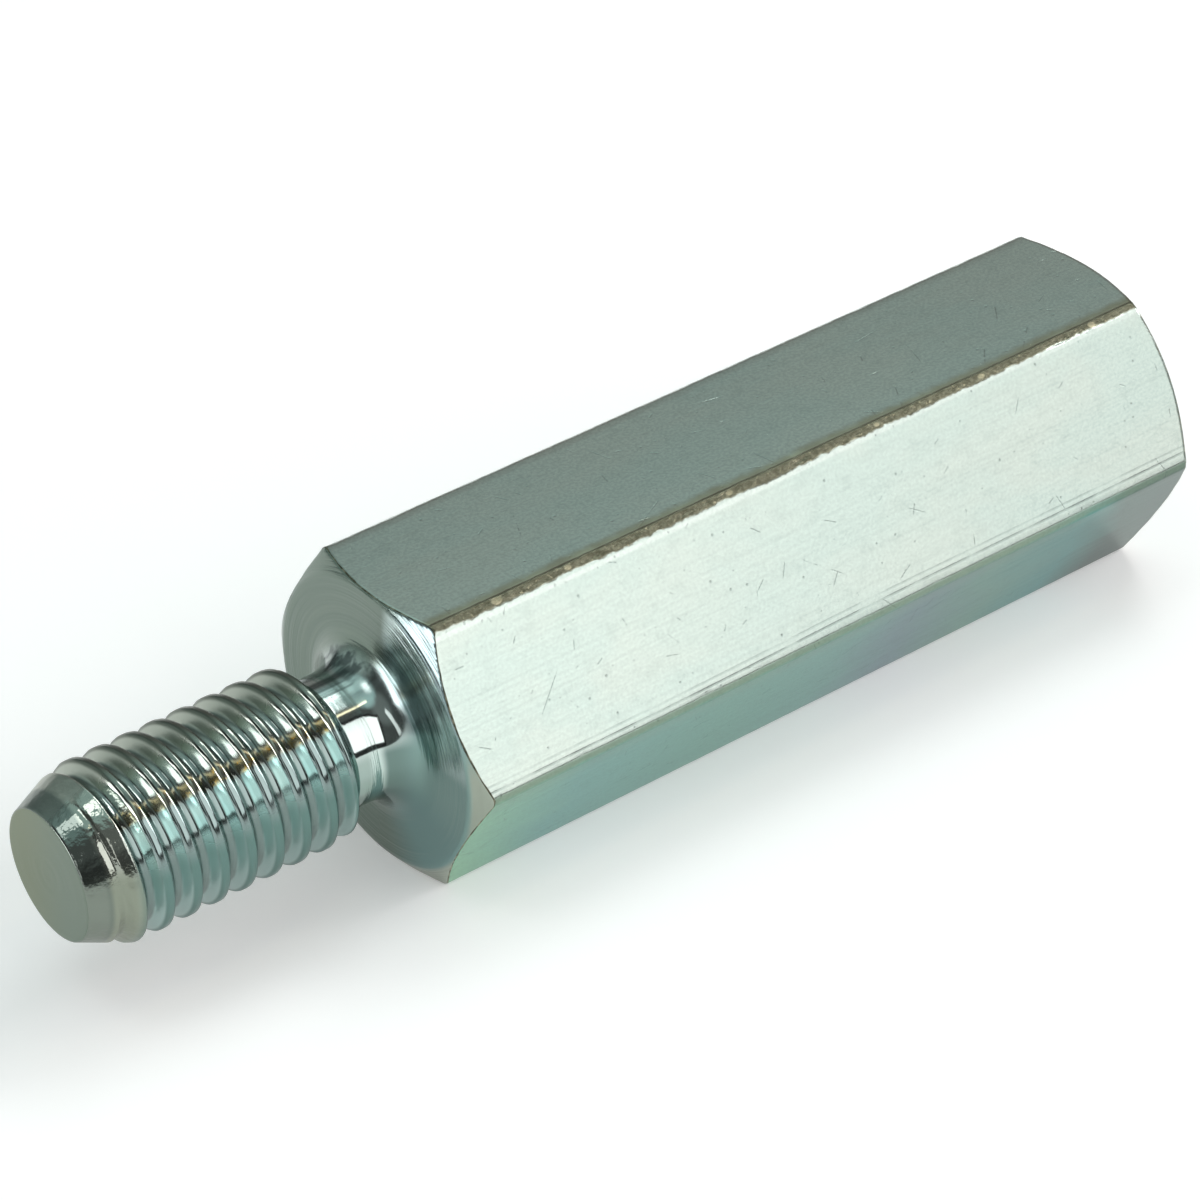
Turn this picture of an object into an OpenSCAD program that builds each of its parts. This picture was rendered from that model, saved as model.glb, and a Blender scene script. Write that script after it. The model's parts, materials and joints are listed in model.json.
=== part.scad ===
// Hex standoff, male to female, turned from drawn hexagon bar.
// The part lies on one flat: the axis runs along X, the stud points to -X
// and the threaded hole opens to +X. Lengths are in millimetres.

/* [Hex body] */
// Width of the hexagon across its flats
hex_af = 10; // [9:0.5:14]
// Length of the hexagonal body, from shoulder to end face
hex_len = 30; // [24:1:60]
// Radius of the drawn bar's six long corners
corner_r = 0.38; // [0.15:0.01:0.8]
// Step from the flats in to the flat ring on each end face
ring_inset = 0.06; // [0.03:0.01:0.4]
// Angle of the end chamfers against the end faces
chamfer_deg = 31; // [20:1:45]

/* [Stud] */
// Outside diameter of the stud, over its thread crests
stud_d = 5.9; // [5.2:0.1:6.6]
// Length of the stud from the shoulder to its tip
stud_len = 12; // [10:0.5:25]
// Diameter of the flat on the stud's tip
tip_d = 4.4; // [3.6:0.1:4.9]
// Angle of the tip cone against the axis
tip_deg = 24; // [22:1:40]

/* [Undercut neck] */
// Diameter of the neck between stud and shoulder
neck_d = 4.4; // [3.6:0.1:4.9]
// Length from the shoulder to the start of the run-out cone
neck_len = 2.2; // [1.8:0.1:2.8]
// Radius of the fillet between neck and shoulder
neck_fillet = 1.3; // [0.6:0.05:1.5]
// Angle of the run-out cone against the axis
runout_deg = 60; // [45:1:75]

/* [Threaded hole] */
// Diameter of the core hole inside the thread crests
core_d = 5; // [4.2:0.1:5.6]
// Depth of the core hole's straight wall below the end face
core_depth = 16; // [8:0.5:20]
// Diameter of the countersink on the end face
sink_d = 6.4; // [6:0.1:7.2]
// Included angle of the countersink
sink_deg = 90; // [80:1:120]
// Included angle of the drill point
drill_deg = 118; // [90:1:140]

/* [Hidden] */
$fn = 96;

// Overrun of a cut past the face that it opens
overrun = 0.5;
total_len = stud_len + hex_len;
flat_r = hex_af / 2;
ring_r = flat_r - ring_inset;
// Distance of the corner roundings' centres from the axis
corner_c = (flat_r - corner_r) / cos(30);
// The turned blank clears the bar's corners by the overrun
blank_r = corner_c + corner_r + overrun;
// Axial depth of an end chamfer out at the blank's radius
chamfer_h = (blank_r - ring_r) * tan(chamfer_deg);
stud_r = stud_d / 2;
tip_r = tip_d / 2;
tip_h = (stud_r - tip_r) / tan(tip_deg);
neck_r = neck_d / 2;
runout_h = (stud_r - neck_r) / tan(runout_deg);
core_r = core_d / 2;
sink_r = sink_d / 2;
sink_h = (sink_r - core_r) / tan(sink_deg / 2);
drill_h = core_r / tan(drill_deg / 2);

// A point at radius r and angle a about the bar's axis
function polar(r, a) = [r * cos(a), r * sin(a)];

// Section of the drawn bar: six flats that run into round corners
module bar_section() {
    polygon([
        for (side = [0:5])
            for (turn = [-30, 30])
                polar(corner_c, 60 * side + 30) + polar(corner_r, 60 * side + 30 + turn)
    ]);
    for (side = [0:5])
        translate(polar(corner_c, 60 * side + 30))
            circle(r = corner_r);
}

// Half profile of the turned blank: radius across, distance from the tip up
module turned_profile() {
    difference() {
        polygon([
            [0, 0],
            [tip_r, 0],
            [stud_r, tip_h],
            [stud_r, stud_len - neck_len - runout_h],
            [neck_r, stud_len - neck_len],
            [neck_r, stud_len - neck_fillet],
            [neck_r + neck_fillet, stud_len],
            [ring_r, stud_len],
            [blank_r, stud_len + chamfer_h],
            [blank_r, total_len - chamfer_h],
            [ring_r, total_len],
            [0, total_len]
        ]);
        translate([neck_r + neck_fillet, stud_len - neck_fillet])
            circle(r = neck_fillet);
    }
}

// Half profile of the blind hole: drill point, straight wall and countersink
module hole_profile() {
    polygon([
        [0, total_len - core_depth - drill_h],
        [core_r, total_len - core_depth],
        [core_r, total_len - sink_h],
        [sink_r, total_len],
        [sink_r, total_len + overrun],
        [0, total_len + overrun]
    ]);
}

// The whole standoff, one piece of steel
module standoff() {
    color([0.74, 0.80, 0.78])
        translate([-total_len / 2, 0, flat_r])
            rotate([0, 90, 0])
                difference() {
                    intersection() {
                        linear_extrude(total_len) bar_section();
                        rotate_extrude() turned_profile();
                    }
                    rotate_extrude() hole_profile();
                }
}

standoff();
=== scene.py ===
"""Hex standoff in zinc-plated steel, lying on a pale studio floor.

Lengths are in millimetres until a mesh or a lamp is made. Angles about the bar's
axis run from +Y towards +Z in the mesh. The materials measure the turn about the
axis from the top towards the front, so that their seam lies underneath.
"""
import json
import math

import bpy
import numpy as np
from mathutils import Matrix, Vector


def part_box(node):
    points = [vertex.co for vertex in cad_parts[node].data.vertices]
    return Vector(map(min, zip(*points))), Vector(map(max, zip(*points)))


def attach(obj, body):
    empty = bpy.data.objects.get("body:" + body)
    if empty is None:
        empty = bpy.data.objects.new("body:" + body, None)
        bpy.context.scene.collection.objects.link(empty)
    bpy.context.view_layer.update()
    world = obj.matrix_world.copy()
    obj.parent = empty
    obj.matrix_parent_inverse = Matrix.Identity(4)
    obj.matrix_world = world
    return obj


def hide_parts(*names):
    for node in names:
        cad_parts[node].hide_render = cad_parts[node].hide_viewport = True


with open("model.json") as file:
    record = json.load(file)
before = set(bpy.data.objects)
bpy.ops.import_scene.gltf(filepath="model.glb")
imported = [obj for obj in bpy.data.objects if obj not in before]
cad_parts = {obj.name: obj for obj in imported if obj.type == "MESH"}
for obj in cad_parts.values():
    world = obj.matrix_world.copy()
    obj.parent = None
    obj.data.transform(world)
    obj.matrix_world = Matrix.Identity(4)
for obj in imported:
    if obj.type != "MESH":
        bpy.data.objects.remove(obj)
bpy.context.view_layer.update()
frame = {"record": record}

MM = 0.001
NODE = "standoff"
BODY = "root"

# Driving sizes, taken from the frame
node_low, node_high = (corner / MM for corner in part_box(NODE))
mounts = {mount["name"]: mount for mount in frame["record"]["mounts"]}
TIP_X = node_low.x
END_X = node_high.x
FLAT_R = (node_high.z - node_low.z) / 2
AXIS_Z = (node_high.z + node_low.z) / 2
SHOULDER_X = mounts["shoulder"]["pos_m"][0] / MM
STUD_R = mounts["stud"]["dims"]["r_mm"]
CORE_R = mounts["threaded_hole"]["dims"]["r_mm"]
HOLE_LEN = mounts["threaded_hole"]["dims"]["length_mm"]

# Hexagon and end chamfers
COS_30 = math.cos(math.radians(30))
CORNER_R = (FLAT_R / COS_30 - node_high.y) / (1 / COS_30 - 1)
CORNER_C = (FLAT_R - CORNER_R) / COS_30
CORNER_HALF = math.atan2(CORNER_R / 2, CORNER_C + CORNER_R * COS_30)
RING_INSET = 0.06
RING_R = FLAT_R - RING_INSET
CHAMFER_SLOPE = math.tan(math.radians(31))
EDGE_BREAK = 0.06
BREAK_DEPTH = 0.03
# Spread of the small axial steps that turning leaves on the ends
RIPPLE = 0.0022

# Seed of all random draws
SEED = 6
# Wear of the six long corners, counted from the +Y one
DENT_DEPTHS = np.array([0.008, 0.010, 0.028, 0.012, 0.008, 0.008])
# Shares of that wear from point to point, and of the breaks along the end edges
DENT_SHARES = (0.6, 1.4)
CHIP_SHARES = (0.3, 1.0)
# Single nicks: corner, station, half length and depth, negative where a drop of zinc stands out
NICKS = (
    (2, -6.1, 0.22, -0.03),
    (2, -4.7, 0.25, 0.04),
    (2, -2.8, 0.20, 0.04),
    (2, 6.0, 0.35, 0.06),
    (2, 8.4, 0.20, 0.04),
    (2, 13.7, 0.16, -0.02),
    (3, -5.5, 0.20, 0.05),
    (3, -0.4, 0.25, 0.04),
    (3, 9.5, 0.20, 0.03),
    (3, 16.5, 0.20, 0.03),
)

# Stud, neck and thread
TIP_R = 2.2
# The tip's middle lies a little deeper than its edge
TIP_HOLLOW = 0.01
TIP_EDGE_LIFT = 0.004
TIP_SLOPE = math.tan(math.radians(24))
NECK_R = 2.2
NECK_LEN = 2.2
NECK_FILLET = 1.3
RUNOUT_SLOPE = math.tan(math.radians(60))
PITCH = 1.0
THREAD_DEPTH = 0.48
# Station of a crest on the +Y side
THREAD_START = -0.03
# Length behind the tip over which the thread deepens from its first share
LEAD_IN = 1.8
LEAD_SHARE = 0.65
FLANK_SLOPE = math.tan(math.radians(61.2))
CREST_ROUND = 0.05
ROOT_ROUND = 0.07
# Rounding where a thread meets a cone or the core wall
CONE_ROUND = 0.04

# Threaded hole
SINK_R = 3.2
HOLE_DEPTH = HOLE_LEN + SINK_R - CORE_R
TAP_DEPTH = 13.0
TAP_ROOT_R = 3.05
DRILL_SLOPE = math.tan(math.radians(31))
DRILL_SHARES = (0.98, 0.5, 0.1)

# Mesh density
CORNER_STEPS = 12
FLAT_STEPS = 20
STUD_STEP = 0.056
BORE_STEP = 0.125
BODY_RINGS = 150
TIP_FIRST_R = 0.25
TIP_RINGS = 14
NECK_RINGS = 7
FILLET_RINGS = 19
SHOULDER_RINGS = 18
END_RINGS = 14
WALL_RINGS = 6
FLOOR_STEPS = 96

# Finishes, in the order of the material slots
BAR, EDGE, TURNED, THREAD, NECK, HOLE = range(6)


# Camera

VIEW_AZIMUTH = math.radians(37.05)
VIEW_ELEVATION = math.radians(35.56)
VIEW_ROLL = math.radians(1.46)
VIEW_DISTANCE = 150.1
VIEW_TARGET = Vector((0.015, 0.0, 5.6))
LENS = 139.97
SENSOR = 36.0
CLIP_START = 10.0


def add_camera():
    """Camera at the photo's angle, distance and field of view."""
    data = bpy.data.cameras.new("camera")
    data.lens = LENS
    data.sensor_width = SENSOR
    data.clip_start = CLIP_START * MM
    camera = bpy.data.objects.new("camera", data)
    bpy.context.collection.objects.link(camera)
    back = Vector((
        -math.sin(VIEW_AZIMUTH) * math.cos(VIEW_ELEVATION),
        -math.cos(VIEW_AZIMUTH) * math.cos(VIEW_ELEVATION),
        math.sin(VIEW_ELEVATION),
    ))
    turn = back.to_track_quat("Z", "Y").to_matrix().to_4x4() @ Matrix.Rotation(-VIEW_ROLL, 4, "Z")
    camera.matrix_world = Matrix.Translation((VIEW_TARGET + back * VIEW_DISTANCE) * MM) @ turn
    bpy.context.scene.camera = camera


# Shader helpers

# Colour sockets of the mix node
MIX_LOW = 6
MIX_HIGH = 7
MIX_RESULT = 2


class Graph:
    """Adds linked nodes to one node tree."""

    def __init__(self, tree):
        self.tree = tree
        tree.nodes.clear()

    def put(self, socket, value):
        """Link a socket to another one, or set its value."""
        if isinstance(value, bpy.types.NodeSocket):
            self.tree.links.new(value, socket)
        else:
            socket.default_value = value

    def node(self, kind, inputs=None, **settings):
        """A new node with its settings and inputs filled in."""
        made = self.tree.nodes.new(kind)
        for name, value in settings.items():
            setattr(made, name, value)
        for key, value in (inputs or {}).items():
            self.put(made.inputs[key], value)
        return made

    def math(self, operation, *values):
        """Result of one arithmetic step."""
        made = self.node("ShaderNodeMath", dict(enumerate(values)), operation=operation)
        return made.outputs[0]

    def times(self, *values):
        """Product of all values."""
        result = values[0]
        for value in values[1:]:
            result = self.math("MULTIPLY", result, value)
        return result

    def plus(self, *values):
        """Sum of all values."""
        result = values[0]
        for value in values[1:]:
            result = self.math("ADD", result, value)
        return result

    def vector(self, operation, *values):
        """Result of one vector step."""
        made = self.node("ShaderNodeVectorMath", dict(enumerate(values)), operation=operation)
        return made.outputs[0]

    def length(self, vector):
        """Length of a vector."""
        return self.node("ShaderNodeVectorMath", {0: vector}, operation="LENGTH").outputs["Value"]

    def split(self, vector):
        """The three parts of a vector or colour."""
        return self.node("ShaderNodeSeparateXYZ", {0: vector}).outputs

    def join(self, x, y, z=0.0):
        """A vector from its three parts."""
        return self.node("ShaderNodeCombineXYZ", {0: x, 1: y, 2: z}).outputs[0]

    def mix(self, share, low, high, blend="MIX"):
        """Colour between low and high, or low blended with high by another rule."""
        inputs = {0: share, MIX_LOW: low, MIX_HIGH: high}
        made = self.node("ShaderNodeMix", inputs, data_type="RGBA", blend_type=blend)
        return made.outputs[MIX_RESULT]

    def span(self, value, start, end, low=0.0, high=1.0):
        """Value carried from start..end to low..high, smoothly and clamped."""
        inputs = {0: value, 1: start, 2: end, 3: low, 4: high}
        return self.node("ShaderNodeMapRange", inputs, interpolation_type="SMOOTHSTEP").outputs[0]

    def band(self, value, rise, fall, high=1.0):
        """Nothing before the rise, high between rise and fall, and nothing after the fall."""
        return self.times(self.span(value, *rise), self.span(value, *fall, high, 0.0))

    def ramp(self, value, stops):
        """Colour along a row of stops, each a place from 0 to 1 and a colour."""
        made = self.node("ShaderNodeValToRGB", {0: value})
        elements = made.color_ramp.elements
        elements.remove(elements[1])
        elements[0].position, elements[0].color = stops[0]
        for place, colour in stops[1:]:
            elements.new(place).color = colour
        return made.outputs[0]

    def noise(self, place, scale, detail=2.0, rough=0.5, distort=0.0):
        """Fractal noise, 0 to 1, with scale in cells per millimetre."""
        inputs = {
            "Vector": place,
            "Scale": scale,
            "Detail": detail,
            "Roughness": rough,
            "Distortion": distort,
        }
        return self.node("ShaderNodeTexNoise", inputs).outputs[0]

    def stretch(self, place, factors):
        """Coordinates scaled along each axis."""
        return self.vector("MULTIPLY", place, factors)

    def bump(self, height):
        """Normal from a height in millimetres."""
        inputs = {"Height": height, "Distance": MM, "Strength": 1.0}
        return self.node("ShaderNodeBump", inputs).outputs[0]


def rgb(red, green, blue):
    """Colour socket value."""
    return (red, green, blue, 1.0)


def start_material(name):
    """New material with its graph, and object coordinates in millimetres."""
    material = bpy.data.materials.new(name)
    material.use_nodes = True
    graph = Graph(material.node_tree)
    place = graph.node("ShaderNodeTexCoord").outputs["Object"]
    place = graph.node("ShaderNodeVectorMath", {0: place, "Scale": 1 / MM}, operation="SCALE").outputs[0]
    return material, graph, place


def end_metal(graph, colour, roughness, normal):
    """Close a metal material with one principled shader."""
    inputs = {"Base Color": colour, "Metallic": 1.0, "Roughness": roughness, "Normal": normal}
    shader = graph.node("ShaderNodeBsdfPrincipled", inputs)
    output = graph.node("ShaderNodeOutputMaterial")
    graph.put(output.inputs["Surface"], shader.outputs[0])


def matt_material(name, colour):
    """Plain matt material of a floor or a board."""
    material = bpy.data.materials.new(name)
    material.use_nodes = True
    shader = material.node_tree.nodes["Principled BSDF"]
    shader.inputs["Base Color"].default_value = colour
    shader.inputs["Roughness"].default_value = 0.9
    shader.inputs["Specular IOR Level"].default_value = 0.1
    return material


# Floor, world and lamps

FLOOR_R = 1500.0
FLOOR_COLOUR = rgb(0.92, 0.89, 0.89)
# Glow of the floor for the eye and for mirrors, which brings it to white where no shadow falls
FLOOR_GLOW = 0.24
BLACK_BOARD = rgb(0.02, 0.02, 0.02)


def floor_paper():
    """Pale matt paper that looks white to the camera and in the metal."""
    material = matt_material("floor_paper", FLOOR_COLOUR)
    graph = material.node_tree
    path = graph.nodes.new("ShaderNodeLightPath")
    seen = path.outputs["Is Camera Ray"]
    for ray in ("Is Glossy Ray", "Is Transmission Ray"):
        either = graph.nodes.new("ShaderNodeMath")
        either.operation = "MAXIMUM"
        graph.links.new(seen, either.inputs[0])
        graph.links.new(path.outputs[ray], either.inputs[1])
        seen = either.outputs[0]
    glow = graph.nodes.new("ShaderNodeMath")
    glow.operation = "MULTIPLY"
    glow.inputs[1].default_value = FLOOR_GLOW
    shader = graph.nodes["Principled BSDF"]
    shader.inputs["Emission Color"].default_value = rgb(1.0, 1.0, 1.0)
    graph.links.new(seen, glow.inputs[0])
    graph.links.new(glow.outputs[0], shader.inputs["Emission Strength"])
    return material


def add_floor():
    """Wide pale disc under the part."""
    mesh = bpy.data.meshes.new("floor")
    turns = [2 * math.pi * step / FLOOR_STEPS for step in range(FLOOR_STEPS)]
    rim = [(FLOOR_R * MM * math.cos(turn), FLOOR_R * MM * math.sin(turn), 0.0) for turn in turns]
    mesh.from_pydata(rim, [], [tuple(range(len(rim)))])
    mesh.materials.append(floor_paper())
    floor = bpy.data.objects.new("floor", mesh)
    bpy.context.collection.objects.link(floor)


WORLD_DARK = rgb(0.085, 0.092, 0.09)
# Paler parts of the room: direction, cosines of the outer and inner edge, and colour
WORLD_PATCHES = (
    ((-0.50, -0.48, 0.72), 0.86, 0.97, rgb(0.19, 0.21, 0.205)),
    ((0.60, 0.62, 0.50), 0.74, 0.90, rgb(0.255, 0.243, 0.235)),
    ((-0.20, 0.85, 0.50), 0.80, 0.95, rgb(0.16, 0.22, 0.21)),
    ((-0.52, 0.74, 0.42), 0.86, 0.97, rgb(0.48, 0.58, 0.56)),
    ((-0.08, 0.08, 0.99), 0.82, 0.92, rgb(0.46, 0.64, 0.63)),
    ((0.42, 0.36, 0.83), 0.90, 0.965, rgb(0.66, 0.88, 0.86)),
)


def set_world():
    """Dim room with paler patches behind the camera, on the back wall and on the ceiling."""
    world = bpy.data.worlds.new("studio")
    world.use_nodes = True
    bpy.context.scene.world = world
    graph = Graph(world.node_tree)
    facing = graph.node("ShaderNodeTexCoord").outputs["Generated"]
    colour = WORLD_DARK
    for toward, outer, inner, tint in WORLD_PATCHES:
        middle = tuple(Vector(toward).normalized())
        inputs = {0: facing, 1: middle}
        cosine = graph.node("ShaderNodeVectorMath", inputs, operation="DOT_PRODUCT").outputs["Value"]
        colour = graph.mix(graph.span(cosine, outer, inner), colour, tint)
    shine = graph.node("ShaderNodeBackground", {"Color": colour, "Strength": 1.0})
    output = graph.node("ShaderNodeOutputWorld")
    graph.put(output.inputs["Surface"], shine.outputs[0])


def facing_centre(toward, distance, along=None):
    """Pose of a board that faces the part's middle, with its width along a direction."""
    away = Vector(toward).normalized()
    side = Vector(along or (-away.y, away.x, 0.0))
    side = (side - away * side.dot(away)).normalized()
    turn = Matrix((side, away.cross(side), away)).transposed().to_4x4()
    centre = Vector((0.0, 0.0, AXIS_Z))
    return Matrix.Translation((centre + away * distance) * MM) @ turn


def add_softbox(name, radiance, width, height, tint=(1.0, 1.0, 1.0), shift=0.0, **pose):
    """Rectangular lamp of a given radiance, not seen by the camera itself."""
    data = bpy.data.lights.new(name, "AREA")
    data.shape = "RECTANGLE"
    data.size = width * MM
    data.size_y = height * MM
    data.energy = radiance * math.pi * width * height * MM * MM
    data.color = tint
    lamp = bpy.data.objects.new(name, data)
    bpy.context.collection.objects.link(lamp)
    lamp.matrix_world = facing_centre(**pose) @ Matrix.Translation((shift * MM, 0.0, 0.0))
    lamp.visible_camera = False


def add_black_frame(name, rim, low_rim, width, height, **pose):
    """Four black strips round a softbox, the lowest one of its own width."""
    right = width / 2
    top = height / 2
    inner = [(-right, -top), (right, -top), (right, top), (-right, top)]
    outer = [(x + math.copysign(rim, x), y + rim if y > 0 else y - low_rim) for x, y in inner]
    mesh = bpy.data.meshes.new(name)
    points = [(x * MM, y * MM, 0.0) for x, y in inner + outer]
    mesh.from_pydata(points, [], [(k, (k + 1) % 4, 4 + (k + 1) % 4, 4 + k) for k in range(4)])
    mesh.materials.append(matt_material(name, BLACK_BOARD))
    board = bpy.data.objects.new(name, mesh)
    bpy.context.collection.objects.link(board)
    board.matrix_world = facing_centre(**pose)
    board.visible_camera = False


FRONT = {"toward": (0.338, -0.797, 0.499), "distance": 457, "width": 450, "height": 362}
# The window's left part is brighter than its right part
FRONT_SPLIT = 0.16
FRONT_LEVELS = (1.66, 1.36)
# Width of the black strips round the window, and of the lowest one
FRAME_RIM = 45
FRAME_LOW_RIM = 75
LEVEL = (1.0, 0.0, 0.0)
ACROSS = (0.0, 1.0, 0.0)
WARM = (1.0, 0.84, 0.58)
# The lamps besides the window
LAMPS = (
    {"name": "right_key", "radiance": 5.5, "width": 320, "height": 320,
     "toward": (0.82, -0.33, 0.47), "distance": 600},
    {"name": "overhead_right", "radiance": 6.6, "width": 235, "height": 85,
     "toward": (0.52, 0.15, 0.83), "distance": 500, "along": ACROSS},
    {"name": "overhead_left", "radiance": 2.2, "width": 120, "height": 120,
     "toward": (-0.36, 0.1, 0.92), "distance": 500, "along": LEVEL},
    {"name": "warm_strip", "radiance": 1.9, "width": 380, "height": 38, "tint": WARM,
     "toward": (0.27, -0.24, 0.93), "distance": 500, "along": LEVEL},
    {"name": "left_strip", "radiance": 4.5, "width": 300, "height": 140,
     "toward": (-0.97, 0.17, 0.19), "distance": 450},
    {"name": "front_left_strip", "radiance": 1.2, "width": 70, "height": 290,
     "toward": (-0.72, -0.604, 0.342), "distance": 450},
)


def add_front_window():
    """The front window as two panels of different level, side by side."""
    pose = {"toward": FRONT["toward"], "distance": FRONT["distance"]}
    half = FRONT["width"] / 2
    middle = FRONT_SPLIT * FRONT["width"]
    for name, level, start, end in zip(("left", "right"), FRONT_LEVELS, (-half, middle), (middle, half)):
        add_softbox("front_" + name, level, end - start, FRONT["height"], shift=(start + end) / 2, **pose)


def add_lamps():
    """Front window in its black frame, right key, overhead lamps, a warm strip and two side strips."""
    add_front_window()
    add_black_frame("front_frame", FRAME_RIM, FRAME_LOW_RIM, **FRONT)
    for lamp in LAMPS:
        add_softbox(**lamp)


# Mesh of the standoff

def ring_angles():
    """Angles of an outer ring: close steps on the six round corners, wider ones on the flats."""
    angles = []
    for side in range(6):
        middle = side * math.pi / 3
        arc = np.linspace(-CORNER_HALF, CORNER_HALF, CORNER_STEPS + 1)
        flat = np.linspace(CORNER_HALF, math.pi / 3 - CORNER_HALF, FLAT_STEPS + 1)
        angles.extend(middle + arc[:-1])
        angles.extend(middle + flat[:-1])
    return np.array(angles)


PHI = ring_angles()
OFF_CORNER = (PHI + math.pi / 6) % (math.pi / 3) - math.pi / 6
NEAR_CORNER = np.round((PHI - OFF_CORNER) / (math.pi / 3)).astype(int) % 6


def hex_radius():
    """Radius of the hexagon with round corners at each angle of a ring."""
    flat = FLAT_R / np.cos(PHI % (math.pi / 3) - math.pi / 6)
    inside = np.clip(CORNER_R ** 2 - (CORNER_C * np.sin(OFF_CORNER)) ** 2, 0, None)
    corner = CORNER_C * np.cos(OFF_CORNER) + np.sqrt(inside)
    return np.where(np.abs(OFF_CORNER) <= CORNER_HALF, corner, flat)


def corner_dents(rng, stations):
    """Depth of the wear on the long corners, with one row for each station."""
    depth = np.abs(rng.normal(0.0, 1.0, (len(stations), 6))) * DENT_DEPTHS
    for corner, x, half, deep in NICKS:
        depth[:, corner] += deep * np.exp(-((stations - x) / half) ** 2)
    bow = np.cos(np.clip(OFF_CORNER / CORNER_HALF, -1, 1) * math.pi / 2) ** 2
    grain = rng.uniform(*DENT_SHARES, (len(stations), len(PHI)))
    return depth[:, NEAR_CORNER] * bow * grain


def soft_min(first, second, blend):
    """Smaller of two values, with the step between them rounded."""
    near = np.clip(blend - np.abs(first - second), 0, None) / blend
    return np.minimum(first, second) - near * near * blend / 4


def soft_max(first, second, blend):
    """Larger of two values, with the step between them rounded."""
    return -soft_min(-first, -second, blend)


def thread_height(x, phi):
    """Height of a right-hand thread over its root, from 0 to the full depth."""
    turn = (x - THREAD_START) / PITCH - phi / (2 * math.pi)
    off_crest = np.abs((turn + 0.5) % 1.0 - 0.5) * PITCH
    flank = FLANK_SLOPE * (PITCH * 3 / 8 - off_crest)
    return soft_max(soft_min(flank, THREAD_DEPTH, CREST_ROUND), 0.0, ROOT_ROUND)


class Skin:
    """Rings about the axis, each joined to the one before."""

    def __init__(self):
        self.points = []
        self.faces = []
        self.finishes = []
        self.count = 0
        self.last = None

    def add_points(self, x, rho, phi):
        """Put points at stations, radii and angles, and return their numbers."""
        x, rho, phi = np.broadcast_arrays(x, rho, phi)
        self.points.append(np.column_stack([x, rho * np.cos(phi), AXIS_Z + rho * np.sin(phi)]))
        numbers = np.arange(self.count, self.count + len(phi))
        self.count += len(phi)
        return numbers

    def add_faces(self, faces, finish):
        """Keep faces of one finish."""
        self.faces.extend(faces[:, ::-1].tolist())
        self.finishes.extend([finish] * len(faces))

    def pole(self, x):
        """A point on the axis that the next ring, or the last one, closes on."""
        return self.add_points(np.array([x]), 0.0, np.array([0.0]))[0]

    def ring(self, x, rho, finish, phi=PHI):
        """Add a ring and join it to the one before."""
        new = self.add_points(x, rho, phi)
        old = self.last
        if old is not None and len(old) == len(new):
            quads = np.column_stack([old, new, np.roll(new, -1), np.roll(old, -1)])
            self.add_faces(quads, finish)
        elif old is not None:
            self.join_halved(old, new, finish)
        self.last = new

    def join_halved(self, old, new, finish):
        """Join a ring to one of half its count."""
        even = old[0::2]
        odd = old[1::2]
        ahead = np.roll(new, -1)
        self.add_faces(np.column_stack([even, new, odd]), finish)
        self.add_faces(np.column_stack([odd, new, ahead]), finish)
        self.add_faces(np.column_stack([odd, ahead, np.roll(even, -1)]), finish)

    def close(self, pole, finish, outward=1):
        """Close the last ring on a pole."""
        ahead = np.roll(self.last, -1)
        fan = np.column_stack([self.last, np.full(len(ahead), pole), ahead])
        self.add_faces(fan[:, ::outward], finish)

    def build(self, name):
        """Mesh object whose faces carry the numbers of their finishes."""
        mesh = bpy.data.meshes.new(name)
        points = np.concatenate(self.points) * MM
        mesh.from_pydata(points.tolist(), [], self.faces)
        mesh.polygons.foreach_set("material_index", self.finishes)
        mesh.polygons.foreach_set("use_smooth", [True] * len(self.faces))
        mesh.update()
        piece = bpy.data.objects.new(name, mesh)
        bpy.context.collection.objects.link(piece)
        return piece


def stud_radius(x):
    """Radius of the stud over its thread and within its end cones, round one ring."""
    neck_end = SHOULDER_X - NECK_LEN
    tip_cone = TIP_R + (x - TIP_X) * TIP_SLOPE
    runout = NECK_R + (neck_end - x) * RUNOUT_SLOPE
    blank = min(tip_cone, runout, STUD_R)
    deepened = min(1.0, LEAD_SHARE + (1 - LEAD_SHARE) * (x - TIP_X) / LEAD_IN)
    thread = STUD_R - deepened * (THREAD_DEPTH - thread_height(x, PHI))
    return soft_min(np.full_like(PHI, blank), thread, CONE_ROUND)


def turned_ripple(rng, count):
    """Small axial steps of a turned face."""
    return rng.normal(0.0, RIPPLE, count)


def add_tip(skin, rng):
    """Flat tip of the stud, from its middle to its edge."""
    pole = skin.pole(TIP_X + TIP_HOLLOW)
    steps = np.linspace(TIP_FIRST_R, TIP_R - EDGE_BREAK, TIP_RINGS)
    for rho, lift in zip(steps, np.abs(turned_ripple(rng, len(steps)))):
        skin.ring(TIP_X + lift, rho, TURNED)
        if pole is not None:
            skin.close(pole, TURNED, outward=-1)
            pole = None
    skin.ring(TIP_X + TIP_EDGE_LIFT, TIP_R - EDGE_BREAK / 3, TURNED)


def add_stud(skin):
    """Tip cone, thread and run-out."""
    neck_end = SHOULDER_X - NECK_LEN
    count = round((neck_end - TIP_X) / STUD_STEP)
    for x in np.linspace(TIP_X + EDGE_BREAK / 2, neck_end, count):
        skin.ring(x, stud_radius(x), THREAD)


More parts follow.
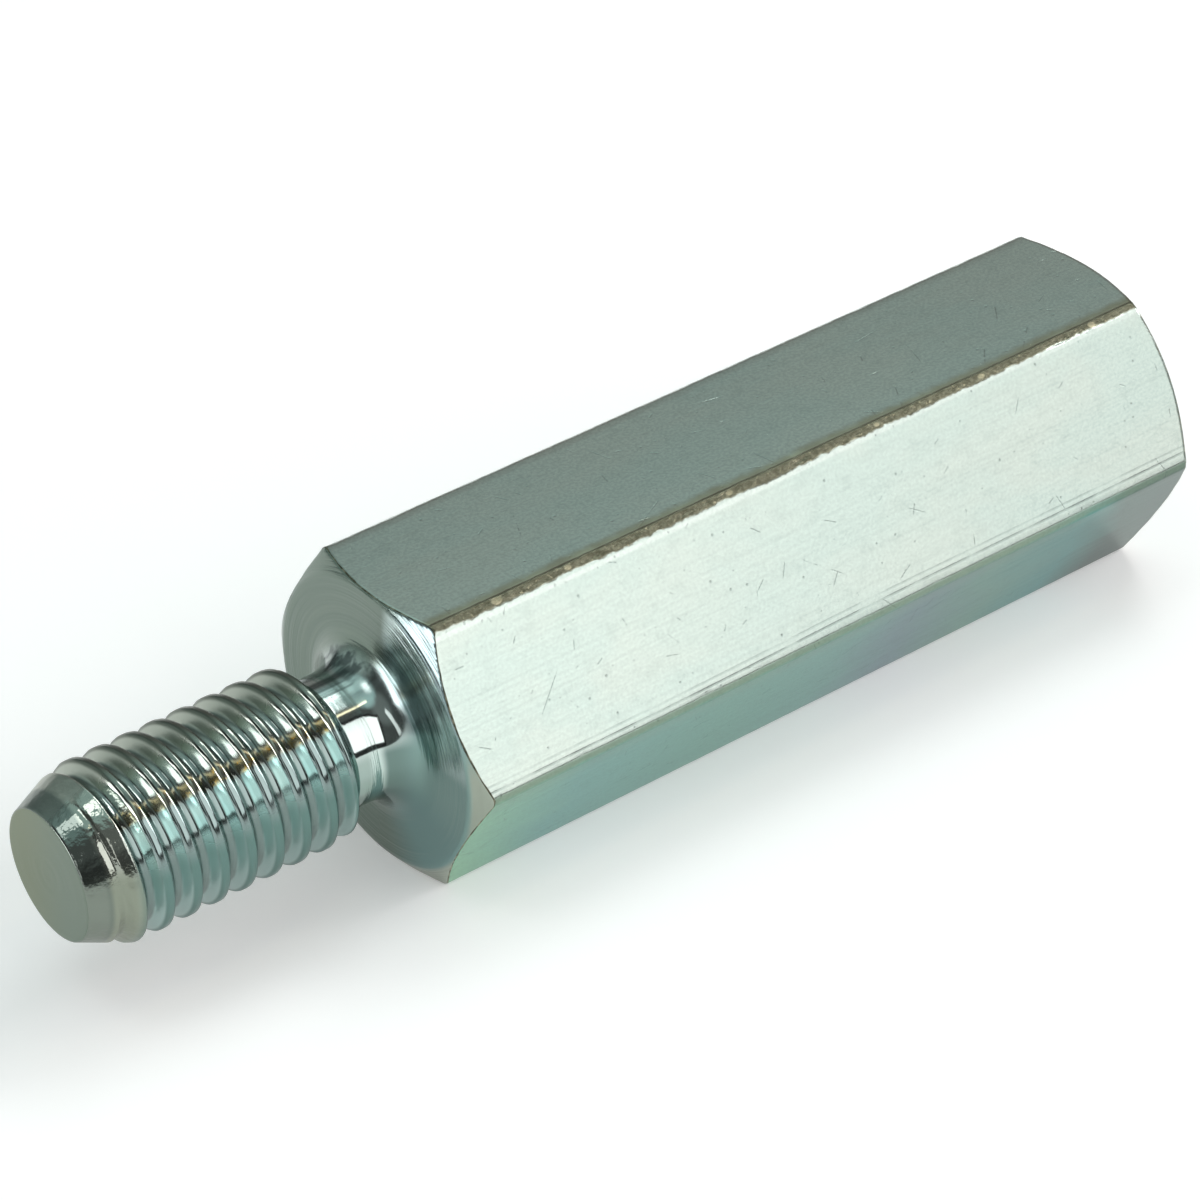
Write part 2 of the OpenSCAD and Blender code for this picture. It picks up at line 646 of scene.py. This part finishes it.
def add_neck(skin):
    """Straight neck and the fillet that runs out into the shoulder."""
    start = SHOULDER_X - NECK_LEN
    bend = SHOULDER_X - NECK_FILLET
    for x in np.linspace(start, bend, NECK_RINGS)[1:]:
        skin.ring(x, NECK_R, NECK)
    for turn in np.linspace(0, math.pi / 2, FILLET_RINGS)[1:]:
        x = bend + NECK_FILLET * math.sin(turn)
        skin.ring(x, NECK_R + NECK_FILLET * (1 - math.cos(turn)), NECK)


def add_shoulder(skin, rng):
    """Flat ring of the near end and its chamfer up to the flats."""
    steps = np.linspace(NECK_R + NECK_FILLET, RING_R - EDGE_BREAK, SHOULDER_RINGS)[1:]
    for rho, lift in zip(steps, turned_ripple(rng, len(steps))):
        skin.ring(SHOULDER_X + lift, rho, TURNED)
    add_chamfer(skin, rng, SHOULDER_X, 1)


# Places of the chamfer's rings between the end face and the flats
CHAMFER_SHARES = (0.0, 0.15, 0.3, 0.45, 0.6, 0.75, 0.9)


def add_chamfer(skin, rng, face_x, inward):
    """Chamfer rings between an end face and the flats, in the order of travel."""
    edge = hex_radius()
    shares = CHAMFER_SHARES if inward > 0 else CHAMFER_SHARES[::-1]
    for share, lift in zip(shares, turned_ripple(rng, len(shares))):
        rho = RING_R + EDGE_BREAK / 2 + share * (edge - RING_R - EDGE_BREAK)
        skin.ring(face_x + inward * ((rho - RING_R) * CHAMFER_SLOPE + lift), rho, TURNED)


def add_body(skin, rng):
    """Flats and corners between the two chamfers, with broken edges at both ends."""
    edge = hex_radius()
    reach = (edge - RING_R) * CHAMFER_SLOPE
    near = SHOULDER_X + reach
    far = END_X - reach
    shares = np.linspace(0, 1, BODY_RINGS)[1:-1]
    dents = corner_dents(rng, SHOULDER_X + shares * (END_X - SHOULDER_X))
    chips = rng.uniform(*CHIP_SHARES, (2, len(PHI)))
    skin.ring(near, edge - BREAK_DEPTH * chips[0], TURNED)
    skin.ring(near + EDGE_BREAK * chips[0], edge, EDGE)
    skin.ring(near + 2 * EDGE_BREAK, edge, BAR)
    for share, dent in zip(shares, dents):
        skin.ring(near + share * (far - near), edge - dent, BAR)
    skin.ring(far - 2 * EDGE_BREAK, edge, BAR)
    skin.ring(far - EDGE_BREAK * chips[1], edge, BAR)
    skin.ring(far, edge - BREAK_DEPTH * chips[1], EDGE)


def add_end(skin, rng):
    """Chamfer, end face and countersink of the far end."""
    add_chamfer(skin, rng, END_X, -1)
    steps = np.linspace(RING_R - EDGE_BREAK, SINK_R + EDGE_BREAK, END_RINGS)
    for rho, lift in zip(steps, np.abs(turned_ripple(rng, len(steps)))):
        skin.ring(END_X - lift, rho, TURNED)
    skin.ring(END_X, SINK_R, TURNED)


def add_hole(skin):
    """Countersink, tapped wall, plain wall and drill point."""
    phi = PHI[0::2]
    count = round(TAP_DEPTH / BORE_STEP)
    for depth in np.linspace(EDGE_BREAK, TAP_DEPTH, count):
        x = END_X - depth
        groove = TAP_ROOT_R - thread_height(x, phi)
        wall = max(CORE_R, SINK_R - depth)
        fade = min(1.0, (TAP_DEPTH - depth) / PITCH)
        rho = CORE_R + (soft_max(groove, np.full_like(phi, wall), CONE_ROUND) - CORE_R) * fade
        skin.ring(x, rho, HOLE, phi)
    for depth in np.linspace(TAP_DEPTH, HOLE_DEPTH, WALL_RINGS)[1:]:
        skin.ring(END_X - depth, CORE_R, HOLE, phi)
    floor_x = END_X - HOLE_DEPTH
    for share in DRILL_SHARES:
        skin.ring(floor_x - (1 - share) * CORE_R * DRILL_SLOPE, share * CORE_R, HOLE, phi)
    skin.close(skin.pole(floor_x - CORE_R * DRILL_SLOPE), HOLE)


def build_standoff():
    """The whole turned piece as one closed skin."""
    rng = np.random.default_rng(SEED)
    skin = Skin()
    add_tip(skin, rng)
    add_stud(skin)
    add_neck(skin)
    add_shoulder(skin, rng)
    add_body(skin, rng)
    add_end(skin, rng)
    add_hole(skin)
    return skin.build("standoff_steel")


# Places on the part, for the materials

# Mean radius of the hexagon, which turns angles into lengths round the bar
GIRTH_R = 5.5
# Turns of the corner between top and front, the one between front and lower flat, and the front flat
UPPER_CORNER = math.radians(30)
LOWER_CORNER = math.radians(90)
FRONT_FLAT = math.radians(60)
# Turns over which the tints below go back to those behind, ahead of the seam
SEAM_FADE = (2.55, 3.1)


def round_place(graph, place):
    """Distance along the axis, turn about it from the top towards the front, and radius."""
    x, y, z = graph.split(place)
    up = graph.math("SUBTRACT", z, AXIS_Z)
    front = graph.times(y, -1.0)
    rho = graph.math("SQRT", graph.plus(graph.times(y, y), graph.times(up, up)))
    return x, graph.math("ARCTAN2", front, up), rho


def corner_offset(graph, turn):
    """Distance past the nearest long corner, in the sense of the turn."""
    step = math.pi / 3
    past = graph.math("SUBTRACT", turn, UPPER_CORNER)
    whole = graph.math("ROUND", graph.math("DIVIDE", past, step))
    rest = graph.math("SUBTRACT", past, graph.times(whole, step))
    return graph.times(rest, CORNER_C + CORNER_R)


def cells(graph, place, scale):
    """Offset from the middle of a random cell, and three random numbers for that cell."""
    cell = graph.node("ShaderNodeTexVoronoi", {"Vector": place, "Scale": scale}, voronoi_dimensions="2D")
    return graph.vector("SUBTRACT", place, cell.outputs["Position"]), graph.split(cell.outputs["Color"])


def scratches(graph, place, scale, keep, reach, half_width):
    """Short straight marks at random places and angles, one or none in each cell."""
    away, (first, second, third) = cells(graph, place, scale)
    inputs = {"Vector": away, "Angle": graph.times(first, math.pi)}
    turned = graph.node("ShaderNodeVectorRotate", inputs, rotation_type="Z_AXIS").outputs[0]
    along, across, _ = graph.split(turned)
    end = graph.times(graph.plus(third, 0.25), reach)
    inside = graph.span(graph.math("ABSOLUTE", along), graph.times(end, 0.5), end, 1.0, 0.0)
    thin = graph.span(graph.math("ABSOLUTE", across), half_width * 0.3, half_width, 1.0, 0.0)
    return graph.times(inside, thin, graph.math("LESS_THAN", second, keep))


def specks(graph, place, scale, keep, radius):
    """Small round spots at random places, one or none in each cell."""
    away, (first, second, _) = cells(graph, place, scale)
    size = graph.times(graph.plus(first, 0.4), radius)
    spot = graph.span(graph.length(away), graph.times(size, 0.4), size, 1.0, 0.0)
    return graph.times(spot, graph.math("LESS_THAN", second, keep))


# Materials

FILM_COOL = rgb(0.515, 0.60, 0.548)
FILM_WARM = rgb(0.54, 0.605, 0.548)
# Pale colour of the painted highlight line on the front flat
HIGHLIGHT_PALE = rgb(0.62, 0.68, 0.63)
# Deeper, darker tints along the lower flats, from shoulder to end: the film's teal with painted shade of the
# underside, darkest at the far end
UNDERSIDE_SHADE_TINTS = (
    (0.00, rgb(0.26, 0.52, 0.345)),
    (0.15, rgb(0.17, 0.40, 0.36)),
    (0.35, rgb(0.17, 0.385, 0.32)),
    (0.50, rgb(0.17, 0.37, 0.325)),
    (0.62, rgb(0.17, 0.275, 0.30)),
    (0.72, rgb(0.155, 0.32, 0.265)),
    (0.83, rgb(0.085, 0.295, 0.275)),
    (0.91, rgb(0.06, 0.125, 0.105)),
    (1.00, rgb(0.05, 0.09, 0.075)),
)
# Olive mixed into the painted shade of the lower flats, near their lower corner and towards the end
DEEP_OLIVE = rgb(0.245, 0.315, 0.245)
# Share of the colour that is left in the deepest marks
MARK_LEFT = rgb(0.30, 0.33, 0.34)
WORN_DARK = rgb(0.085, 0.083, 0.057)
WORN_BROWN = rgb(0.185, 0.18, 0.128)
WORN_GOLD = rgb(0.40, 0.365, 0.25)
WORN_STAIN = rgb(0.33, 0.32, 0.235)
WORN_ROUGH = 0.4
# Shifts that keep the random patterns of the bar apart
SHORT_SHIFT = (9.0, 5.0, 0.0)
SPOT_SHIFT = (4.0, 23.0, 0.0)
FLECK_SHIFT = (31.0, 17.0, 0.0)


def film_colour(graph, bar, x, turn):
    """Pale tints of the zinc's film on the upper flats, and on the lower flats deeper tints with painted
    shade.
    """
    patch = graph.noise(graph.stretch(bar, (0.15, 0.3, 1.0)), 1.0, 3.0, 0.55, 0.5)
    pale = graph.mix(graph.span(patch, 0.36, 0.64), FILM_COOL, FILM_WARM)
    wander = graph.times(graph.math("SUBTRACT", patch, 0.5), 4.0)
    beyond = graph.math("SUBTRACT", graph.plus(x, wander), SHOULDER_X)
    # painted shade of the lower flats over the film's teal
    deep = graph.ramp(graph.math("DIVIDE", beyond, END_X - SHOULDER_X), UNDERSIDE_SHADE_TINTS)
    fold = graph.math("ABSOLUTE", turn)
    past = graph.times(graph.math("SUBTRACT", fold, LOWER_CORNER), CORNER_C + CORNER_R)
    broad = graph.times(graph.span(past, -0.2, 1.2, 0.4, 0.0), graph.span(x, 13.0, 18.0, 1.0, 0.2))
    deep = graph.mix(graph.plus(graph.span(past, 0.0, 0.2, 0.55, 0.0), broad), deep, DEEP_OLIVE)
    return graph.mix(graph.span(fold, LOWER_CORNER - 0.04, LOWER_CORNER - 0.015), pale, deep)


def near_turn(graph, turn, middle):
    """Full within about a third of a flat of one turn, and nothing on the other corners."""
    return graph.span(graph.math("ABSOLUTE", graph.math("SUBTRACT", turn, middle)), 0.3, 0.4, 1.0, 0.0)


def upper_wear(graph, ragged, off, x, here):
    """Darkening that fades onto the top flat, and worn core on the corner between top and front: crisp in
    front, soft behind.
    """
    place = graph.plus(off, ragged)
    front = graph.span(graph.plus(place, graph.span(x, 4.0, 16.0, 0.0, 0.045)), 0.12, 0.20, 1.0, 0.0)
    soft_darkening = graph.times(graph.span(place, -0.60, -0.26), front, here)
    core = graph.times(graph.span(graph.plus(off, graph.times(ragged, 0.3)), -0.21, -0.13), front, here)
    return soft_darkening, core


def painted_highlight_line(graph, off, x, here):
    """Painted highlight along the front flat beside the worn corner, closer to it at the far end."""
    place = graph.plus(off, graph.span(x, 0.0, 14.0, 0.0, 0.09))
    line = graph.band(place, (0.18, 0.26), (0.32, 0.42))
    return graph.times(line, graph.span(x, 6.0, 20.0, 0.8, 0.55), here)


def draw_grooves(graph, off, x, here):
    """Two long drawing marks on the front flat above its lower corner."""
    drift = graph.span(x, -2.0, 8.0, 0.0, -0.10)
    marks = []
    for start, strength in ((-0.50, 0.22), (-0.31, 0.40)):
        away = graph.math("ABSOLUTE", graph.math("SUBTRACT", off, graph.plus(drift, start)))
        marks.append(graph.span(away, 0.015, 0.055, strength, 0.0))
    broken = graph.span(graph.noise(graph.join(x, off), 0.7, 2.0), 0.35, 0.6, 0.35, 1.0)
    return graph.times(graph.math("MAXIMUM", *marks), broken, here)


# Small drops of zinc on the worn corner: station and radius
BEADS = ((-6.1, 0.24), (-3.35, 0.16), (3.1, 0.15), (9.2, 0.14), (13.7, 0.17), (18.6, 0.20))


def zinc_beads(graph, x, off):
    """Full on the zinc drops of the worn corner."""
    beads = 0.0
    for station, radius in BEADS:
        away = graph.join(graph.math("SUBTRACT", x, station), graph.times(off, 1.5))
        bead = graph.span(graph.length(away), radius * 0.6, radius, 1.0, 0.0)
        beads = graph.math("MAXIMUM", beads, bead)
    return beads


def worn_colour(graph, bar, x, off):
    """Brown of thin zinc with golden flecks and drops, darker behind the crown, and its grain."""
    grain = graph.noise(bar, 5.5, 4.0, 0.75)
    fleck = graph.noise(graph.vector("ADD", bar, FLECK_SHIFT), 8.0, 2.0)
    brown = graph.mix(graph.span(grain, 0.38, 0.68), WORN_DARK, WORN_BROWN)
    drops = graph.times(zinc_beads(graph, x, off), graph.span(grain, 0.35, 0.6, 0.9, 0.45))
    golden = graph.math("MAXIMUM", graph.span(fleck, 0.60, 0.74, 0.0, 0.8), drops)
    brown = graph.mix(golden, brown, WORN_GOLD)
    return graph.mix(graph.span(off, -0.14, 0.02, 0.35, 0.0), brown, WORN_DARK), grain


def bar_marks(graph, bar, mottle):
    """Scratches and specks of the flats, only where the mottle is strong."""
    short_place = graph.vector("ADD", bar, SHORT_SHIFT)
    spot_place = graph.vector("ADD", bar, SPOT_SHIFT)
    long_marks = scratches(graph, bar, scale=0.5, keep=0.32, reach=0.9, half_width=0.026)
    short_marks = scratches(graph, short_place, scale=1.1, keep=0.20, reach=0.3, half_width=0.03)
    spots = specks(graph, spot_place, scale=1.5, keep=0.4, radius=0.05)
    marks = graph.math("MAXIMUM", graph.math("MAXIMUM", long_marks, short_marks), spots)
    return graph.times(marks, graph.span(mottle, 0.40, 0.56))


def drawn_bar():
    """Drawn flats and long corners: film tints with painted shade on the lower flats, a painted highlight
    line, draw lines, scratches, specks and wear.
    """
    material, graph, place = start_material("drawn_bar")
    x, turn, _ = round_place(graph, place)
    bar = graph.join(x, graph.times(turn, GIRTH_R))
    off = corner_offset(graph, turn)
    upper = near_turn(graph, turn, UPPER_CORNER)
    lower = near_turn(graph, turn, LOWER_CORNER)
    lines = graph.noise(graph.stretch(bar, (0.05, 8.0, 1.0)), 1.0, 4.0, 0.6)
    mottle = graph.noise(bar, 1.6, 4.0, 0.6)
    pebble = graph.noise(bar, 9.0, 2.0)
    dull = graph.span(graph.math("ABSOLUTE", graph.math("SUBTRACT", turn, FRONT_FLAT)), 0.45, 0.6, 0.08, 0.17)
    ragged = graph.times(graph.math("SUBTRACT", graph.noise(bar, 2.6, 3.0, 0.6), 0.5), 0.22)
    sway = graph.times(graph.math("SUBTRACT", graph.noise(graph.join(x, 7.0), 0.5, 2.0), 0.5), 0.20)
    marks = bar_marks(graph, bar, mottle)
    grooves = draw_grooves(graph, off, x, lower)
    soft_darkening, core = upper_wear(graph, graph.plus(ragged, sway), off, x, upper)
    brown, grain = worn_colour(graph, bar, x, off)
    # The front flat gets a painted highlight line beside the worn corner
    colour = graph.mix(painted_highlight_line(graph, off, x, upper), film_colour(graph, bar, x, turn), HIGHLIGHT_PALE)
    shade = graph.plus(
        graph.span(lines, 0.4, 0.8, 0.0, 0.06),
        graph.span(mottle, 0.45, 0.75, 0.0, 0.10),
        graph.times(graph.span(pebble, 0.36, 0.64), dull),
        graph.times(marks, 0.35),
        grooves,
    )
    colour = graph.mix(graph.math("MINIMUM", shade, 0.6), colour, MARK_LEFT, "MULTIPLY")
    colour = graph.mix(soft_darkening, colour, WORN_STAIN)
    colour = graph.mix(core, colour, brown)
    height = graph.plus(
        graph.times(lines, 0.0010),
        graph.times(pebble, 0.0008),
        graph.times(marks, -0.003),
        graph.times(grooves, -0.006),
        graph.times(grain, core, 0.025),
    )
    roughness = graph.plus(graph.span(lines, 0.2, 0.8, 0.20, 0.25), graph.times(core, 0.15))
    end_metal(graph, colour, roughness, graph.bump(height))
    return material


def worn_edge():
    """Broken edges between chamfers and flats, brown like the worn corners."""
    material, graph, place = start_material("worn_edge")
    grain = graph.noise(place, 4.5, 3.0, 0.65)
    colour = graph.mix(graph.span(grain, 0.38, 0.68), WORN_DARK, WORN_STAIN)
    end_metal(graph, colour, WORN_ROUGH, graph.bump(graph.times(grain, 0.02)))
    return material


# Tints of the turned ends by side, painted reflection and shade over the film's tint; TURNED_SHADE is painted
# shade
TURNED_LOW = rgb(0.165, 0.21, 0.18)
TURNED_HIGH = rgb(0.19, 0.235, 0.20)
TURNED_BLUE = rgb(0.32, 0.405, 0.415)
TURNED_TEAL = rgb(0.23, 0.35, 0.325)
TURNED_DEEP = rgb(0.19, 0.31, 0.30)
TURNED_RIM_HIGHLIGHT = rgb(0.33, 0.37, 0.31)
TURNED_SHADE = rgb(0.06, 0.08, 0.08)
TURNED_PAINTED_LIGHT = rgb(0.70, 0.83, 0.81)
TURNED_ROUGH = 0.2
TIP_OLIVE = rgb(0.178, 0.208, 0.138)
TIP_COOL = rgb(0.162, 0.207, 0.162)
# Turns over which each tint of the ends sets in, from the back over the front to the underside: tints by side
# that paint reflection and shade over the film's tint
BLUE_TURNS = (0.15, 0.45)
TEAL_TURNS = (0.9, 1.4)
DEEP_TURNS = (1.7, 2.3)
# Turns and radii over which the painted highlight on the lower rim sets in
RIM_HIGHLIGHT_TURNS = (1.2, 1.45)
RIM_HIGHLIGHT_RADII = (4.95, 5.15)
# Turns over which the front of the near end begins, its coarse grooves end and its painted light ends
FRONT_START = (0.16, 0.34)
GROOVE_END = (0.72, 0.95)
PAINTED_LIGHT_END = (1.38, 1.55)
# Rise and fall of the painted light, the painted dark rings, the painted dark spot and the coarse grooves
# there
PAINTED_LIGHT_RADII = ((3.4, 3.9), (4.85, 5.0))
PAINTED_RING_TURNS = ((0.2, 0.4), (1.0, 1.2))
PAINTED_SPOT_TURNS = ((0.74, 0.86), (1.08, 1.2))
GROOVE_RADII = ((3.8, 4.4), (4.95, 5.1))
GROOVE_DEPTH = 0.05


def ring_lines(graph, across, turn):
    """Turning marks: noise drawn out round the axis, by a length across the marks."""
    return graph.noise(graph.join(graph.times(across, 8.0), graph.times(turn, 0.6)), 1.0, 3.0, 0.6)


def near_end(graph, x):
    """Full on the near end of the bar, nothing on the far end."""
    return graph.math("LESS_THAN", x, 0.0)


def tool_side(graph, x, turn):
    """Full on the upper front of the near end, where the tool left coarse grooves."""
    return graph.times(graph.band(turn, FRONT_START, GROOVE_END), near_end(graph, x))


def shoulder_front(graph, colour, x, rings, turn, rho):
    """Front of the near end, which mirrors the stud: painted light with painted dark rings and a painted dark
    spot in place of that reflection.
    """
    face = graph.band(rho, *PAINTED_LIGHT_RADII)
    ahead = graph.band(turn, FRONT_START, PAINTED_LIGHT_END)
    here = near_end(graph, x)
    # painted light where the face mirrors the stud
    pale = graph.times(face, ahead, graph.span(turn, *GROOVE_END, 1.0, 0.6), here)
    colour = graph.mix(pale, colour, TURNED_PAINTED_LIGHT)
    # painted dark rings and a painted dark spot
    painted_rings = graph.times(graph.band(turn, *PAINTED_RING_TURNS), here)
    painted_rings = graph.times(painted_rings, graph.span(rho, 3.3, 3.7), graph.span(rings, 0.46, 0.60, 0.0, 0.45))
    colour = graph.mix(painted_rings, colour, TURNED_SHADE)
    spot = graph.times(graph.band(turn, *PAINTED_SPOT_TURNS), here)
    return graph.mix(graph.times(spot, graph.span(rho, 3.9, 4.3, 0.62, 0.0)), colour, TURNED_SHADE)


def turned_colour(graph, x, rings, turn, rho):
    """Grey at the back, blue towards the front and teal below, with a paler rim low down: painted reflection
    and shade by side over the film's tint, the rim a painted highlight.
    """
    grey = graph.mix(graph.span(rings, 0.3, 0.7), TURNED_LOW, TURNED_HIGH)
    colour = graph.mix(graph.span(turn, *BLUE_TURNS), grey, TURNED_BLUE)
    colour = graph.mix(graph.span(turn, *TEAL_TURNS), colour, TURNED_TEAL)
    colour = graph.mix(graph.span(turn, *DEEP_TURNS), colour, TURNED_DEEP)
    colour = shoulder_front(graph, colour, x, rings, turn, rho)
    # painted highlight on the lower rim of the chamfer
    rim = graph.times(graph.span(rho, *RIM_HIGHLIGHT_RADII), graph.span(turn, *RIM_HIGHLIGHT_TURNS))
    colour = graph.mix(rim, colour, TURNED_RIM_HIGHLIGHT)
    return graph.mix(graph.span(turn, *SEAM_FADE), colour, grey)


def turned_face():
    """Turned ends: fine rings, deepest towards the rim, coarse grooves on the near end and an olive tip."""
    material, graph, place = start_material("turned_face")
    x, turn, rho = round_place(graph, place)
    rings = ring_lines(graph, rho, turn)
    colour = turned_colour(graph, x, rings, turn, rho)
    across = graph.times(rho, graph.math("SINE", turn))
    tip = graph.mix(graph.span(across, -1.6, 1.2), TIP_OLIVE, TIP_COOL)
    colour = graph.mix(graph.span(x, TIP_X + 0.2, TIP_X + 0.4, 1.0, 0.0), colour, tip)
    edge = graph.band(rho, *GROOVE_RADII, GROOVE_DEPTH)
    grooves = graph.times(tool_side(graph, x, turn), edge)
    depth = graph.plus(graph.span(rho, 2.8, 5.0, 0.002, 0.030), grooves)
    end_metal(graph, colour, TURNED_ROUGH, graph.bump(graph.times(rings, depth)))
    return material


# Tints of the thread by side and by crest or flank: painted reflection and shade in place of what each part
# mirrors
THREAD_COOL = rgb(0.50, 0.65, 0.63)
THREAD_PALE = rgb(0.56, 0.685, 0.66)
FRONT_PAINTED_SHADE = rgb(0.38, 0.49, 0.475)
FRONT_CREST = rgb(0.27, 0.34, 0.33)
TOP_CREST = rgb(0.22, 0.24, 0.215)
TOP_FLANK = rgb(0.42, 0.45, 0.43)
WARM_GLINT = rgb(0.56, 0.57, 0.47)
GOLD_GLINT = rgb(0.75, 0.58, 0.25)
BACK_CREST = rgb(0.15, 0.168, 0.14)
BACK_FLANK = rgb(0.39, 0.425, 0.37)
LOW_CREST = rgb(0.14, 0.235, 0.215)
LOW_FLANK = rgb(0.36, 0.487, 0.465)
ROOT_SHADE = rgb(0.12, 0.15, 0.14)
# Turns over which each tint of the thread sets in, the painted warm glint among them, and over which the
# painted shade at the start of its front ends
TOP_TURNS = (0.05, 0.30)
WARM_GLINT_TURNS = (0.52, 0.60)
FRONT_TURNS = (0.68, 0.76)
PAINTED_SHADE_END = (0.74, 0.88)
LOW_TURNS = (1.15, 1.45)
# Radii over which the flanks give way to the crests
FLANK_RADII = (STUD_R - 0.16, STUD_R - 0.06)


def thread_colour(graph, place, film, turn, rho):
    """Tints of the thread by turn, painted reflection and shade by side: its flanks mirror each other and are
    painted paler than its crests.
    """
    flank = graph.span(rho, *FLANK_RADII, 1.0, 0.0)
    back = graph.mix(flank, BACK_CREST, BACK_FLANK)
    top = graph.mix(flank, TOP_CREST, TOP_FLANK)
    # painted warm glint, with painted gold glints in it, on the upper side ahead of the front
    warm = graph.band(turn, WARM_GLINT_TURNS, FRONT_TURNS)
    top = graph.mix(warm, top, WARM_GLINT)
    top = graph.mix(graph.times(warm, graph.span(graph.noise(place, 5.0, 2.0), 0.58, 0.64)), top, GOLD_GLINT)
    front = graph.mix(graph.span(film, 0.35, 0.65), THREAD_COOL, THREAD_PALE)
    # painted shade at the start of the front
    front = graph.mix(graph.span(turn, *PAINTED_SHADE_END, 1.0, 0.0), front, FRONT_PAINTED_SHADE)
    front = graph.mix(flank, FRONT_CREST, front)
    low = graph.mix(flank, LOW_CREST, LOW_FLANK)
    colour = graph.mix(graph.span(turn, *TOP_TURNS), back, top)
    colour = graph.mix(graph.span(turn, *FRONT_TURNS), colour, front)
    colour = graph.mix(graph.span(turn, *LOW_TURNS), colour, low)
    return graph.mix(graph.span(turn, *SEAM_FADE), colour, back)


# Tints of the tip cone by side: painted reflection over its olive tint
CONE_HIGH = rgb(0.40, 0.42, 0.37)
CONE_LOW = rgb(0.27, 0.30, 0.24)
CONE_EDGE = rgb(0.44, 0.48, 0.385)


def cone_colour(graph, x, turn):
    """Olive tints of the tip cone, paler on top and deeper below behind its edge, where it mirrors the floor:
    painted reflection by side over the cone's olive tint.
    """
    low = graph.mix(graph.span(x, TIP_X + 0.5, TIP_X + 0.75), CONE_EDGE, CONE_LOW)
    return graph.mix(graph.span(graph.math("ABSOLUTE", turn), 1.0, 1.3), CONE_HIGH, low)


def rolled_thread():
    """Bright thread with fine lines along its turns, tints by side that paint its reflections, and painted
    shade in the roots.
    """
    material, graph, place = start_material("rolled_thread")
    x, turn, rho = round_place(graph, place)
    helix = graph.math("SUBTRACT", x, graph.times(turn, PITCH / (2 * math.pi)))
    lines = graph.noise(graph.join(graph.times(helix, 9.0), graph.times(turn, 0.8)), 1.0, 3.0, 0.6)
    film = graph.noise(place, 0.7, 3.0, 0.6)
    colour = thread_colour(graph, place, film, turn, rho)
    colour = graph.mix(graph.span(x, TIP_X + 1.3, TIP_X + 1.9, 1.0, 0.0), colour, cone_colour(graph, x, turn))
    root = STUD_R - THREAD_DEPTH
    # painted shade in the thread's roots
    colour = graph.mix(graph.span(rho, root + 0.01, root + 0.08, 0.7, 0.0), colour, ROOT_SHADE)
    matt = graph.math("MAXIMUM", graph.span(turn, 1.05, 1.4), graph.span(turn, 0.0, 0.25, 1.0, 0.0))
    roughness = graph.plus(graph.span(film, 0.3, 0.7, 0.08, 0.14), graph.times(matt, 0.22))
    torn = graph.times(graph.noise(place, 2.4, 3.0), graph.span(x, TIP_X + 1.4, TIP_X + 2.0, 0.035, 0.0))
    end_metal(graph, colour, roughness, graph.bump(graph.plus(graph.times(lines, 0.0022), torn)))
    return material


# Neck tints: the top, and below a painted reflection that is paler near the fillet and a painted shade on the
# fillet
NECK_COLOUR = rgb(0.58, 0.66, 0.63)
NECK_LOW = rgb(0.36, 0.45, 0.415)
NECK_PAINTED_LIGHT = rgb(0.60, 0.71, 0.67)
FILLET_PAINTED_SHADE = rgb(0.16, 0.235, 0.215)


def turned_neck():
    """Neck and fillet: coarser lines towards the shoulder, painted dark reflections in blotches on top, and
    painted reflection and shade below.
    """
    material, graph, place = start_material("turned_neck")
    x, turn, rho = round_place(graph, place)
    rings = ring_lines(graph, graph.math("SUBTRACT", rho, x), turn)
    near = graph.span(rho, NECK_R, NECK_R + 0.7)
    fold = graph.math("ABSOLUTE", turn)
    bend = SHOULDER_X - NECK_FILLET
    # painted reflection on the underside, paler near the fillet, painted shade on the fillet
    low = graph.mix(graph.span(x, bend - 0.4, bend - 0.15), NECK_LOW, NECK_PAINTED_LIGHT)
    low = graph.mix(graph.span(x, bend, bend + 0.35), low, FILLET_PAINTED_SHADE)
    colour = graph.mix(graph.span(fold, 1.1, 1.35), NECK_COLOUR, low)
    colour = graph.mix(near, colour, turned_colour(graph, x, rings, turn, rho))
    # painted dark reflections in blotches on the upper fillet
    shade_blotch = graph.span(graph.noise(graph.join(graph.times(turn, 2.0), rho), 1.6, 3.0, 0.6), 0.40, 0.58)
    high = graph.band(turn, (-2.8, -1.8), (0.20, 0.55), 0.85)
    painted_dark = graph.times(shade_blotch, high, graph.span(rho, NECK_R + 0.4, NECK_R + 0.65, 1.0, 0.0))
    colour = graph.mix(painted_dark, colour, TURNED_SHADE)
    depth = graph.span(near, 0.0, 1.0, 0.004, 0.020)
    ring_matt = graph.span(near, 0.0, 1.0, 0.08, 0.2)
    top_matt = graph.span(fold, 0.40, 0.56, 0.2, 0.08)
    matt = graph.math("MAXIMUM", ring_matt, top_matt)
    end_metal(graph, colour, matt, graph.bump(graph.times(rings, depth)))
    return material


HOLE_COLOUR = rgb(0.46, 0.50, 0.48)


def tapped_hole():
    """Tapped hole, a little duller than the stud."""
    material, graph, place = start_material("tapped_hole")
    film = graph.noise(place, 1.5, 3.0)
    end_metal(graph, HOLE_COLOUR, graph.span(film, 0.3, 0.7, 0.2, 0.3), graph.bump(graph.times(film, 0.002)))
    return material


bpy.context.scene.view_settings.view_transform = "Standard"
add_camera()
add_floor()
set_world()
add_lamps()
standoff = build_standoff()
for finish in (drawn_bar, worn_edge, turned_face, rolled_thread, turned_neck, tapped_hole):
    standoff.data.materials.append(finish())
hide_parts(NODE)
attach(standoff, BODY)
